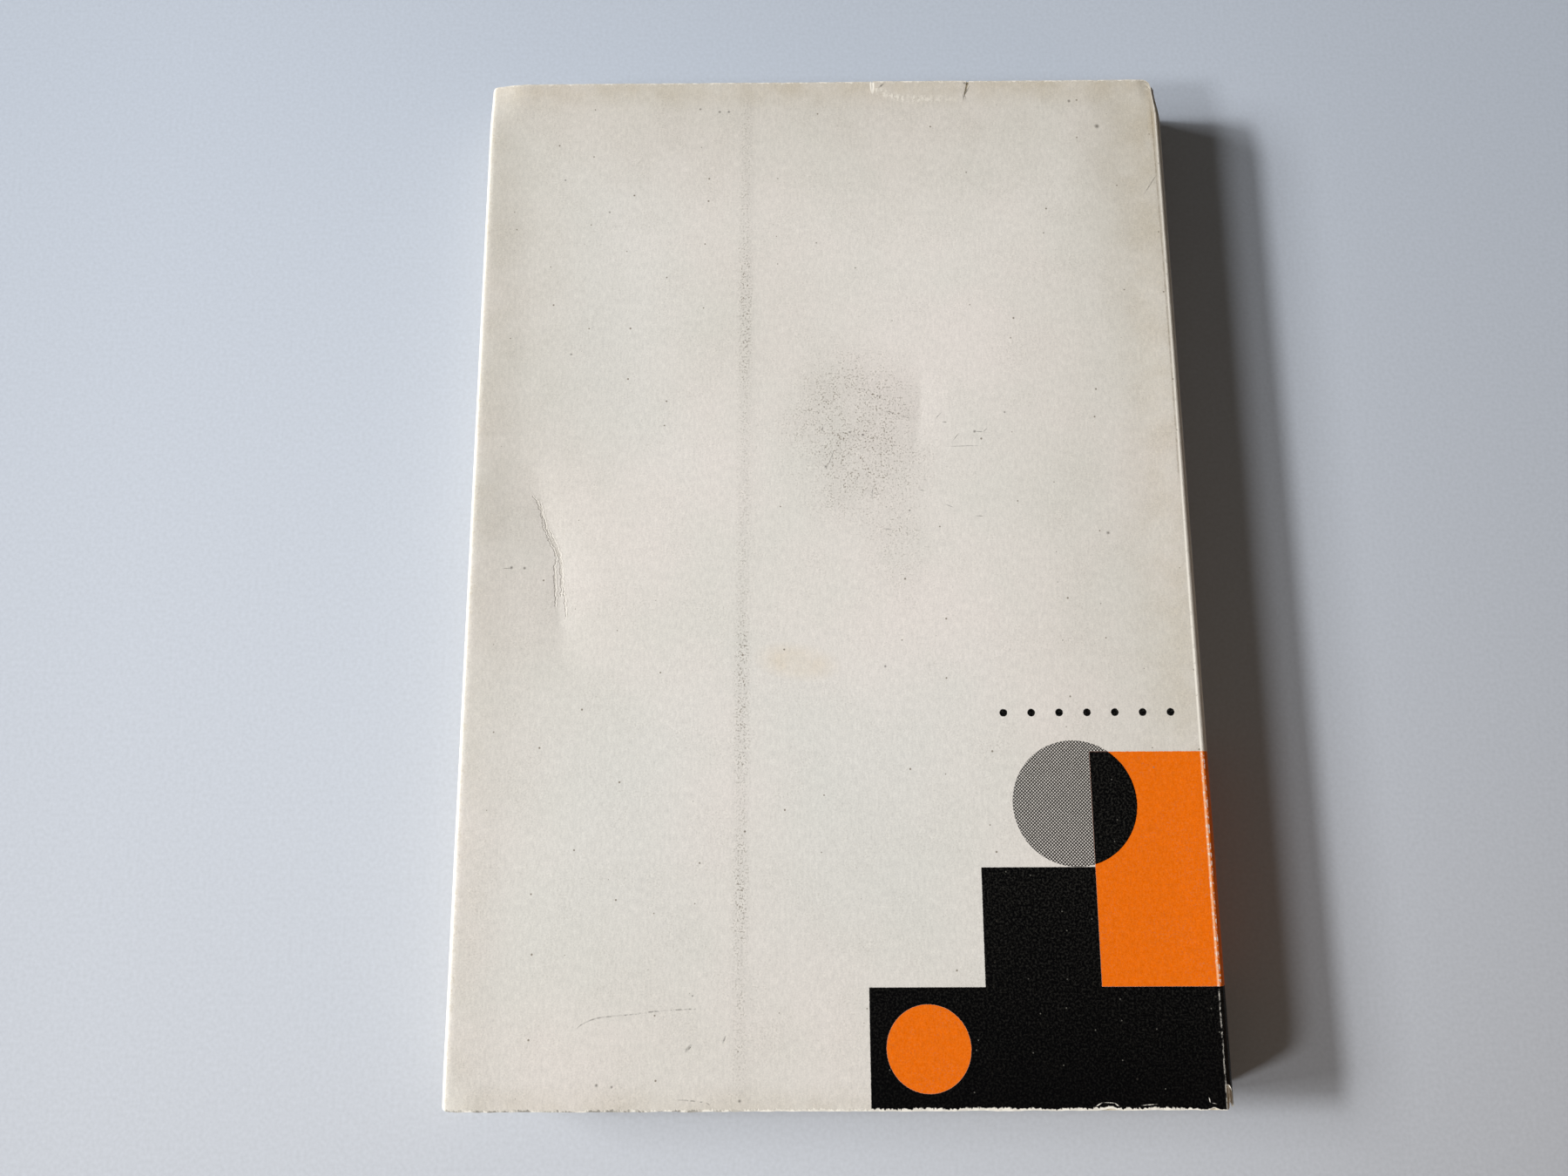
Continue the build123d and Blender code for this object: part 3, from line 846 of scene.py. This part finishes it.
def cover_card():
    """Offset-printed matt card, aged: a dull cream with soft blotches, handling soil and rubbed edges, with
    painted light and shade in places.
    """
    material, tree, surface = new_finish("offset_printed_card", 0.62, 0.06)
    place = node("Attribute", tree=tree, attribute_name="sheet_place")
    u, v, side = node("SeparateXYZ", place.outputs["Vector"]).outputs
    flat = node("CombineXYZ", u, v, 0)
    drawn_out = node("CombineXYZ", u, product(v, 0.42), 0)
    blotch, cloud, mottle, grain, fray, felt = [
        node("TexNoise", drawn_out if name == "felt" else flat,
             Scale=1 / size, Detail=detail, Roughness=0.6, noise_dimensions="2D")
        for name, (size, detail) in CARD_NOISE.items()
    ]
    bare, edges, uneven = toned_card(flat, u, v, blotch, cloud, fray)
    printed, black, orange = printed_design(flat, v, bare)
    soil = product(handling_soil(flat, u, v, cloud, mottle, fray), node("MapRange", black, 0, 1, 1, 0.1))
    ripple = node("MapRange", mottle, 0.25, 0.75, 0.955, 1.035)
    tooth = node("MapRange", grain, 0.2, 0.8, 0.92, 1.07)
    shade = product(ripple, tooth, node("MapRange", felt, 0.2, 0.8, 0.93, 1.06))
    colour = shaded(layered(printed, (soil, SOIL)), shade)

    # Specks, scratches, dark strokes painted as shade in the head tears' slits, and the dent's cracks, dark,
    # with a painted highlight as a pale lip beside each
    specks = strongest(*[disc(flat, (a, b), size * 0.7, size * 0.6) for a, b, size in SPECKS])
    patchy = node("MapRange", fray, 0.3, 0.6, 0.35, 1)
    broken = strongest(node("MapRange", fray, 0.42, 0.56), node("MapRange", u, -116, -108, 0.8, 0.12))
    scratches_and_tear_shade = strongest(
        *[product(mark(u, v, line, 0.10, 0.12), broken, 0.8) for line in SCRATCHES],
        *[streak(flat, *line) for line in MARKS_AND_TEAR_SHADE])
    unsteady = node("MapRange", fray, 0.3, 0.7, -0.22, 0.22)
    jogged = node("Math", u, unsteady, operation="ADD")
    cracks = strongest(*[mark(jogged, v, line, 0.05, 0.16) for line in CRACKS])
    # A painted highlight: a pale line beside each crack on its spine side, also raised a little in the relief
    lip_highlights = strongest(*[mark(jogged, v, [(a + 0.26, b) for a, b in line], 0.08, 0.20) for line in CRACKS])
    creases = product(mark(u, v, TAB_CREASE, 0.5, 1), node("MapRange", u, -52, -44, 1, 0.4),
                      node("MapRange", fray, 0.44, 0.60))
    colour = layered(
        colour, (product(specks, 0.75), SPECK), (product(scratches_and_tear_shade, patchy, 0.66), SPECK),
        (product(lip_highlights, patchy, 0.4), CARD_CORE), (product(cracks, patchy, 0.45), SOIL),
        (product(creases, patchy, 0.55), CARD_CORE))

    # Rubbed places, where the ink and the toned face are gone and the pale core shows
    from_head = node("Math", HEIGHT, v, operation="SUBTRACT")
    frayed = node("MapRange", fray, 0.35, 0.72)
    flakes = node("Math", felt, product(cloud, 0.6), operation="ADD")
    chipped = node("MapRange", flakes, 0.55, 1.05, 0, 0.55)
    to_corner = node("MapRange", u, -9, -2.5, 1, 0.25)
    tail_width = product(node("Math", chipped, product(black, 0.12), operation="ADD"), to_corner)
    tail_rub = past(v, tail_width, -0.08, 0.10, 1, 0)
    head_rub = past(from_head, product(frayed, 0.5), -0.1, 0.15, 0.8, 0)
    blisters = product(strongest(*[streak(flat, *line) for line in BLISTERS]),
                       node("MapRange", fray, 0.40, 0.55, 0.2, 1))
    corner_rub = product(disc(flat, (-0.4, HEIGHT - 1.6), 0.9, 0.8), frayed)
    tear_u, depth, *_ = HEAD_TEARS[0]
    bevel = streak(flat, (tear_u - 0.05, HEIGHT + 1.8), (tear_u + 0.05, HEIGHT - depth - 0.2), 1.15)
    bevel = node("MapRange", bevel, 0.25, 0.6)

    # The ridge beside the spine is made pale along a band, thinly where orange ink still holds: rubbed wear,
    # and a painted highlight on the lit ridge
    crease_u = node("MapRange", v, 100, 150, -0.06, 0.16)
    ridge_width = node("Math", node("MapRange", v, 135, 100, 0.13, 0.20), product(black, 0.13),
                       operation="SUBTRACT")
    ridge_wear_highlight_band = past(away_from(u, crease_u), ridge_width, -0.12, 0.12, 1, 0)
    gaps = past(mottle, product(black, 0.20), 0.26, 0.42)
    worn_through = node("MapRange", fray, 0.52, 0.62)
    thin_ink = without(orange, worn_through)
    past_ridge = product(node("MapRange", away_from(u, 0.42), 0.085, 0.17, 1, 0), worn_through, orange)
    ridge_wear_and_highlight = strongest(without(product(ridge_wear_highlight_band, gaps), thin_ink), past_ridge)
    front_place = away_from(u, SPINE_WIDTH)
    front_rub = product(node("MapRange", front_place, 0.15, 0.45, 1, 0), gaps)
    fold_place = away_from(u, FOLD_MIDDLE_U)
    fold_rub = product(node("MapRange", fold_place, FOLD_LENGTH / 2 - 0.35, FOLD_LENGTH / 2, 0.35, 0),
                       node("MapRange", mottle, 0.3, 0.6, 0.6, 1))
    # All these rubbed places show the pale core; along the ridge it is also a painted highlight
    rubbed = strongest(tail_rub, head_rub, corner_rub, blisters, bevel, ridge_wear_and_highlight, front_rub, fold_rub)

    # The rubbed tail edge is darker towards the fore-edge, the rubbed head edge a little darker, and the
    # darkening comes in dashes
    darker_to_fore_edge = node("MapRange", u, -100, -82, 0.8, 0.2)
    edge_darkening = strongest(product(tail_rub, darker_to_fore_edge), product(head_rub, 0.6))
    dashes = node("TexNoise", u, Scale=1 / 2.6, Detail=3, noise_dimensions="1D")
    edge_darkening = product(edge_darkening, node("MapRange", dashes, 0.42, 0.54, 0.05, 1))
    # A dark line beside the ridge: soil and painted shade in the crease
    crease_soil_and_shade = product(mark(u, v, GROOVE, 0.08, 0.22), patchy, 0.45)
    colour = layered(colour, (product(ridge_wear_highlight_band, thin_ink), ORANGE_THIN),
                     (rubbed, layered(CARD_CORE, (edge_darkening, EDGE_DARK))), (crease_soil_and_shade, CREASE_SOIL_AND_SHADE))

    # The unprinted inner face, and the cut edge between the two faces
    from_hinge = node("Math", node("Math", u, operation="ABSOLUTE"), front_place, operation="MINIMUM")
    browned = product(node("MapRange", from_hinge, 4, 2.4, 0, 0.95), node("MapRange", fray, 0.3, 0.6, 0.8, 1))
    inside = layered(CARD_INSIDE, (product(edges, uneven, 0.8), CARD_TONED), (browned, GLUE_BROWN))
    cut = product(node("MapRange", side, 0.06, 0.12), node("MapRange", side, 0.88, 0.94, 1, 0))
    colour = layered(colour, (node("MapRange", side, 0.80, 0.95), shaded(inside, shade)), (cut, CARD_CORE))

    ink = product(strongest(black, product(orange, 0.6)), node("MapRange", side, 0, 0.1, 1, 0))
    rough = node("MapRange", without(ink, rubbed), 0, 1, 0.66, 0.40)

    # Relief in millimetres: paper tooth, fibre mottle, cracks and creases
    height = product(node("Math", grain, 0.5, operation="SUBTRACT"), 0.012)
    for mask, rise in ((mottle, 0.010), (cracks, -0.042), (lip_highlights, 0.024), (creases, 0.02), (tail_rub, -0.03)):
        height = node("Math", height, product(mask, rise), operation="ADD")
    dress(surface, colour, height, rough)
    return material


def torn_core():
    """Torn card: long pale fibres from inside the sheet, quite matt."""
    material, tree, surface = new_finish("torn_card_core", 0.9, 0.15)
    place = node("TexCoord", tree=tree).outputs["Object"]
    speckle = node("TexNoise", place, Scale=900, Detail=2)
    dress(surface, layered(linear("#E9E2D2"), (speckle, linear("#CFC3AB"))))
    return material


def page_paper(name, edges):
    """Uncoated book paper: matt and warm, browner at the trimmed edges, where each leaf shows as a line."""
    material, tree, surface = new_finish(name, 0.8, 0.2)
    place = node("Attribute", tree=tree, attribute_name="leaf_place").outputs["Vector"]
    x, y, _ = node("SeparateXYZ", place).outputs
    cloud = node("TexNoise", place, Scale=1 / 14, Detail=4)
    if edges:
        stretched = node("Mapping", place, Scale=(1 / 60, 1 / 60, 1 / 0.16))
        lines = node("TexNoise", stretched, Scale=1, Detail=2, Roughness=0.7)
        colour = layered(linear("#BBB19C"), (node("MapRange", cloud, 0.3, 0.7), linear("#A89E89")))
        shade = node("MapRange", lines, 0.3, 0.7, 0.72, 1.08)
        height = product(lines, 0.05)
    else:
        fibre = node("TexNoise", place, Scale=1 / 0.4, Detail=2)
        to_side = node("MapRange", node("Math", y, operation="ABSOLUTE"), HEAD_Y - 14, HEAD_Y)
        toned = strongest(to_side, node("MapRange", x, FOLD_X + 16, FOLD_X + 2))
        toned = product(toned, node("MapRange", cloud, 0.3, 0.7, 0.2, 0.9))
        colour = layered(linear("#DED8C9"), (toned, linear("#CABC9E")))
        shade = node("MapRange", fibre, 0.3, 0.7, 0.97, 1.02)
        height = product(fibre, 0.01)
    dress(surface, shaded(colour, shade), height)
    return material


def binding_glue():
    """Dried animal glue, brushed on: yellow-brown and a little glossy, with torn paper stuck in it."""
    material, tree, surface = new_finish("brushed_animal_glue", 0.45, 0.4)
    place = node("TexCoord", tree=tree).outputs["Object"]
    brushed = node("Mapping", place, Scale=(1200, 90, 1200))
    strokes = node("TexNoise", brushed, Scale=1, Detail=3)
    paper = node("TexNoise", place, Scale=700, Detail=3)
    colour = layered(linear("#B79E6C"), (node("MapRange", strokes, 0.3, 0.7), linear("#8F7547")),
                     (node("MapRange", paper, 0.36, 0.52, 0, 0.9), linear("#E6E0D2")))
    dress(surface, colour, product(strokes, 0.06))
    return material


# Pieces

CARD_FINISH = cover_card()
CORE_FINISH = torn_core()

back = cover_sheet("back_cover_sheet", back_columns(), edge_rows(1.9), CARD_FINISH, HEAD_TEARS)
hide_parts("back_cover")
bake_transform(back)

spine = cover_sheet("spine_card", spine_columns(), edge_rows(1.9), CARD_FINISH)
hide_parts("spine_cover")
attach(spine, "book_block")

front = cover_sheet("front_cover_sheet", front_columns(), edge_rows(5), CARD_FINISH)
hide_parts("front_cover")
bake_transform(front)

block = leaves(page_paper("trimmed_page_edges", True), page_paper("uncoated_book_page", False))
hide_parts("text_block")
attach(block, "book_block")

glue = brushed_glue(binding_glue())
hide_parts("spine_glue")
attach(glue, "book_block")

# How many fibres stand out at the head edge, the tail edge and the chip
HEAD_FIBRES, TAIL_FIBRES, CHIP_FIBRES = 70, 110, 46


def head_and_tail_fibres():
    """Fibres that stand out of the back cover's worn head and tail edges."""
    random = np.random.default_rng(SEED + 3)
    roots = []
    for edge_y, inward, count in ((HEAD_Y, -1, HEAD_FIBRES), (TAIL_Y, 1, TAIL_FIBRES)):
        for _ in range(count):
            x = random.uniform(FOLD_X + 3, RIDGE_X - HINGE_BEND - 1.5)
            length = random.uniform(0.12, 0.30)
            width = random.uniform(0.05, 0.10)
            y = edge_y + inward * (length * 0.7 + 0.08)
            z = THICKNESS + settled(x, y) - random.uniform(0.05, CARD - 0.05)
            lean = (random.uniform(-1.2, 1.2), -inward, random.uniform(-0.15, 0.2))
            roots.append(((x, y, z), lean, length * 0.7, width))
    return roots


def chip_fibres():
    """Fibres along the torn edge of the chip in the spine card."""
    random = np.random.default_rng(SEED + 4)
    roots = []
    for _ in range(CHIP_FIBRES):
        u = random.uniform(0.05, 3.4)
        inset = max(chip_inset(u), tail_inset(u))
        x, z, out_x, out_z = on_path(u)
        depth = random.uniform(0.08, CARD)
        start = (x - out_x * depth, TAIL_Y + inset + 0.15, z - out_z * depth)
        lean = (random.uniform(-0.4, 0.1), -1, random.uniform(-0.6, 0.3))
        length = min(random.uniform(0.2, 0.9), inset + 0.08)
        roots.append((start, lean, length, random.uniform(0.06, 0.16)))
    return roots


edge_fluff = fibres("edge_fibres", head_and_tail_fibres(), CORE_FINISH)
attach(edge_fluff, "back_cover")
chip_fluff = fibres("chip_fibres", chip_fibres(), CORE_FINISH)
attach(chip_fluff, "book_block")


# Floor, light and camera

FLOOR_NEAR, FLOOR_FAR, BACKDROP_COLOUR, FILL_COLOUR = "#C0C4CB", "#BCC4D0", "#C9CFD8", "#FFF8EC"

# Size of the floor and where it fades into the backdrop, in metres, and how bright its colour is painted at
# left and right, as painted fall-off of the lamps' light
FLOOR_SIZE = 6
FLOOR_FADE = (0.23, 0.75)
FLOOR_PAINTED_FALLOFF = (1.18, 0.905)

# Camera: its place from the middle of the back cover's ridge, its tilt in degrees, and its lens
EYE, EYE_TILT, LENS = (-79.24, -50.5, 221.34), (11.009, 0.381, -0.259), 26

# Strength of the light that comes from all round
FILL = 0.078

# Lamps: rise and turn in degrees, distance, width and height in metres, light on the table, and colour
LAMPS = {
    "low_pane": (28.3, 176.5, 4, 0.60, 0.28, 0.36, "#FFFFFF"),
    "sky_below_it": (24.5, 175, 4, 1.90, 0.65, 0.34, "#FFFFFF"),
    "high_pane": (34.4, 205, 4, 0.55, 0.55, 0.22, "#FFFFFF"),
    "warm_wall": (18.4, 326, 0.38, 0.15, 0.15, 0.020, "#FFCFA2"),
}


def floor():
    """A plain pale painted table, just under the book, with painted light fall-off in its colour, which fades
    into the backdrop far from it.
    """
    half = FLOOR_SIZE / 2
    mesh = bpy.data.meshes.new("floor")
    corners = [(-half, -half, 0), (half, -half, 0), (half, half, 0), (-half, half, 0)]
    mesh.from_pydata([(x, y, -0.02 * MM) for x, y, _ in corners], [], [(0, 1, 2, 3)])
    material, tree, surface = new_finish("painted_table", 1, 0)
    place = node("TexCoord", tree=tree).outputs["Object"]
    speckle = node("TexNoise", place, Scale=1300, Detail=2)
    x, y, _ = node("SeparateXYZ", place).outputs
    # Painted light fall-off: the colour is lighter at the left and darker at the right, darker away from the
    # middle as a painted vignette, and on the right lighter towards the head and darker towards the tail
    across = node("MapRange", x, -0.15, 0.15, *FLOOR_PAINTED_FALLOFF)
    from_viewer = node("VectorMath", place, (0, -0.04, 0), operation="DISTANCE").outputs["Value"]
    painted_vignette = node("MapRange", from_viewer, 0.10, 0.30, 1, 0.78)
    cooled = layered(linear(FLOOR_NEAR), (node("MapRange", y, -0.12, 0.12), linear(FLOOR_FAR)))
    to_right = node("MapRange", x, 0, 0.15)
    painted_light_on_right = node("Math", product(to_right, y, 0.85), 1, operation="ADD")
    shade = product(node("MapRange", speckle, 0.2, 0.8, 0.94, 1.06), across, painted_vignette, painted_light_on_right)
    dress(surface, shaded(cooled, shade))
    from_middle = node("VectorMath", place, operation="LENGTH").outputs["Value"]
    far = node("MapRange", from_middle, *FLOOR_FADE, **SOFTLY)
    seen = product(far, node("LightPath", tree=tree).outputs["Is Camera Ray"])
    backdrop = node("Emission", linear(BACKDROP_COLOUR), 1, tree=tree)
    mixed = node("MixShader", seen, surface, backdrop)
    output = next(n for n in tree.nodes if n.type == "OUTPUT_MATERIAL")
    tree.links.new(mixed.outputs[0], output.inputs["Surface"])
    mesh.materials.append(material)
    table = bpy.data.objects.new("floor", mesh)
    bpy.context.scene.collection.objects.link(table)


def light():
    """Soft lamps like a window's panes on the fore-edge side, a faint warm one, and a fill from all round."""
    for name, (rise, turn, distance, width, height, share, colour) in LAMPS.items():
        rise, turn = math.radians(rise), math.radians(turn)
        lamp = bpy.data.lights.new(name, "AREA")
        lamp.shape = "RECTANGLE"
        lamp.size, lamp.size_y = width, height
        lamp.color = linear(colour)[:3]
        lamp.energy = math.pi**2 * distance**2 * share / math.sin(rise)
        pane = bpy.data.objects.new(name, lamp)
        way = Vector((math.cos(turn) * math.cos(rise), math.sin(turn) * math.cos(rise), math.sin(rise)))
        pane.location = way * distance
        pane.rotation_euler = (-way).to_track_quat("-Z", "Y").to_euler()
        pane.visible_camera = False
        bpy.context.scene.collection.objects.link(pane)

    world = bpy.data.worlds.new("studio")
    bpy.context.scene.world = world
    world.use_nodes = True
    tree = world.node_tree
    tree.nodes.clear()
    rays = node("LightPath", tree=tree)
    across = node("SeparateXYZ", node("TexCoord", tree=tree).outputs["Generated"])
    strength = node("MapRange", across, -1, 1, 1.45 * FILL, 0.55 * FILL)
    fill = node("Background", linear(FILL_COLOUR), strength)
    shown = node("Background", linear(BACKDROP_COLOUR), 1, tree=tree)
    both = node("MixShader", rays.outputs["Is Camera Ray"], fill, shown)
    node("OutputWorld", both)


def camera():
    """The photograph's viewpoint, a little above and to the left of the middle of the book."""
    lens = bpy.data.cameras.new("camera")
    lens.lens = LENS
    lens.sensor_width = 36
    lens.clip_start, lens.clip_end = 0.01, 100
    eye = bpy.data.objects.new("camera", lens)
    eye.location = (Vector((RIDGE_X, 0, THICKNESS)) + Vector(EYE)) * MM
    eye.rotation_euler = [math.radians(angle) for angle in EYE_TILT]
    bpy.context.scene.collection.objects.link(eye)
    bpy.context.scene.camera = eye


floor()
light()
camera()
bpy.context.scene.view_settings.view_transform = "Standard"
